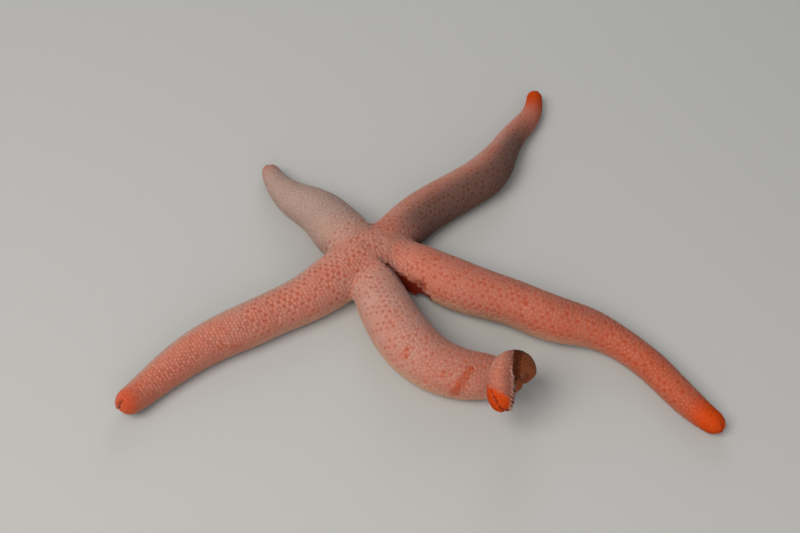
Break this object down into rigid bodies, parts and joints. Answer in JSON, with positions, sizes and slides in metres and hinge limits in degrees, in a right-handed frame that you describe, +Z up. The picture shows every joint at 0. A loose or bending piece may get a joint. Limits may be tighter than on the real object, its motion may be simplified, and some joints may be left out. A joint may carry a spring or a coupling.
{
  "type": "blood star sea star",
  "caption": "Life-size sea star with slender round arms of uneven length, one curled over at its end, lying on its flat underside.",
  "frame": {"origin": "middle of the footprint's bounding box, on the floor the sea star lies on", "axes": "+Z up from the underside through the back; +X along the longest extent, from the left arm's tip to the right arm's tip; +Y away from the front arm, towards the two back arms"},
  "size_m": [0.1154, 0.096, 0.015],
  "materials": {
    "body": "salmon-pink living skin under a short velvet of blunt spinelets, with darker red pits",
    "tip": "vivid orange living skin under the same short spinelets",
    "mouth": "soft moist tan skin",
    "sieve": "pale matte limy plate with fine furrows"
  },
  "bodies": {
    "root": {"disc": "body", "mouth": "mouth", "madreporite": "sieve", "arm_left_base": "body", "arm_left_middle": "body", "arm_left_outer": "body", "arm_left_tip": "tip", "arm_back_left_base": "body", "arm_back_left_middle": "body", "arm_back_left_outer": "body", "arm_back_left_tip": "tip", "arm_back_right_base": "body", "arm_back_right_middle": "body", "arm_back_right_outer": "body", "arm_back_right_tip": "tip", "arm_right_base": "body", "arm_right_middle": "body", "arm_right_outer": "body", "arm_right_tip": "tip", "arm_front_base": "body", "arm_front_middle": "body", "arm_front_bend": "body", "arm_front_hook": "body", "arm_front_tip": "tip"}
  },
  "joints": []
}
